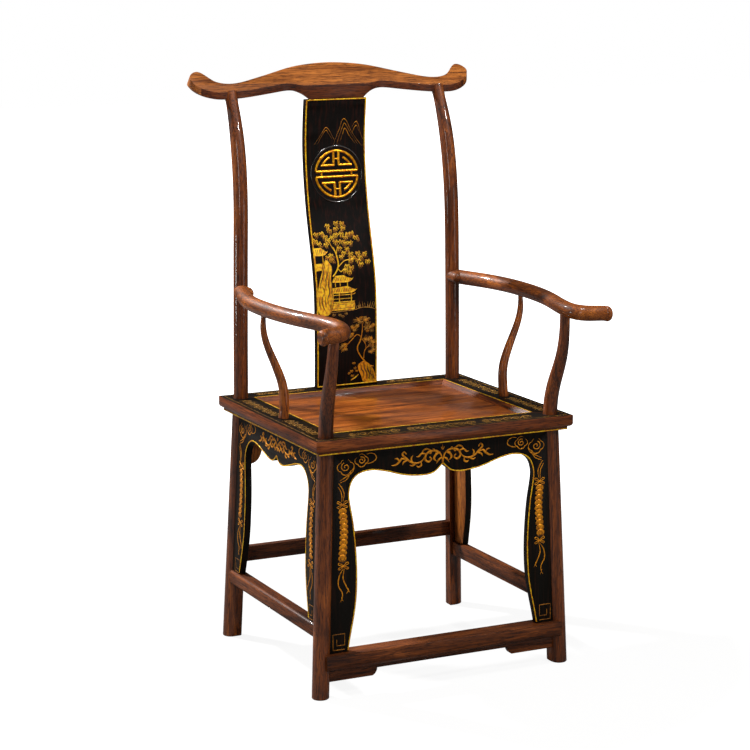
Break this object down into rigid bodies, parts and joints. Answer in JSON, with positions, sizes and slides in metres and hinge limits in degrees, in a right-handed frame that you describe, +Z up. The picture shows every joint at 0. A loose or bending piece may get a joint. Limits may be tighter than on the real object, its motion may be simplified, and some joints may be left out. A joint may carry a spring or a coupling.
{
  "type": "armchair",
  "caption": "Official's hat armchair: protruding crest rail and arms, S-curved splat, mitred seat frame with panel, arched aprons, footrest and stepped stretchers.",
  "frame": {"origin": "centre of the whole chair's footprint box, on the floor", "axes": "+X to the right of someone facing the chair, -Y the way the chair faces, +Z up; the chair mirrors left to right in the plane x = 0"},
  "size_m": [0.635, 0.6648, 1.1872],
  "materials": {
    "crest_wood": "satin",
    "splat_lacquer": "semi-gloss black lacquer with gilding",
    "post_wood": "semi-gloss",
    "arm_wood": "semi-gloss",
    "frame_wood": "satin",
    "panel_wood": "satin",
    "apron_lacquer": "satin black lacquer with gilding",
    "stretcher_wood": "semi-gloss"
  },
  "bodies": {
    "root": {"crest_rail": "crest_wood", "back_splat": "splat_lacquer", "front_leg_post_left": "post_wood", "front_leg_post_right": "post_wood", "back_leg_post_left": "post_wood", "back_leg_post_right": "post_wood", "armrest_left": "arm_wood", "armrest_right": "arm_wood", "arm_support_left": "arm_wood", "arm_support_right": "arm_wood", "seat_rail_front": "frame_wood", "seat_rail_back": "frame_wood", "seat_rail_left": "frame_wood", "seat_rail_right": "frame_wood", "seat_panel_front": "panel_wood", "seat_panel_back": "panel_wood", "seat_batten_left": "panel_wood", "seat_batten_right": "panel_wood", "front_apron_top": "apron_lacquer", "front_apron_left": "apron_lacquer", "front_apron_right": "apron_lacquer", "side_apron_left_top": "apron_lacquer", "side_apron_left_front": "apron_lacquer", "side_apron_left_back": "apron_lacquer", "side_apron_right_top": "apron_lacquer", "side_apron_right_front": "apron_lacquer", "side_apron_right_back": "apron_lacquer", "back_apron": "apron_lacquer", "footrest": "stretcher_wood", "footrest_strip": "stretcher_wood", "side_stretcher_left": "stretcher_wood", "side_stretcher_right": "stretcher_wood", "back_stretcher": "stretcher_wood"}
  },
  "joints": []
}
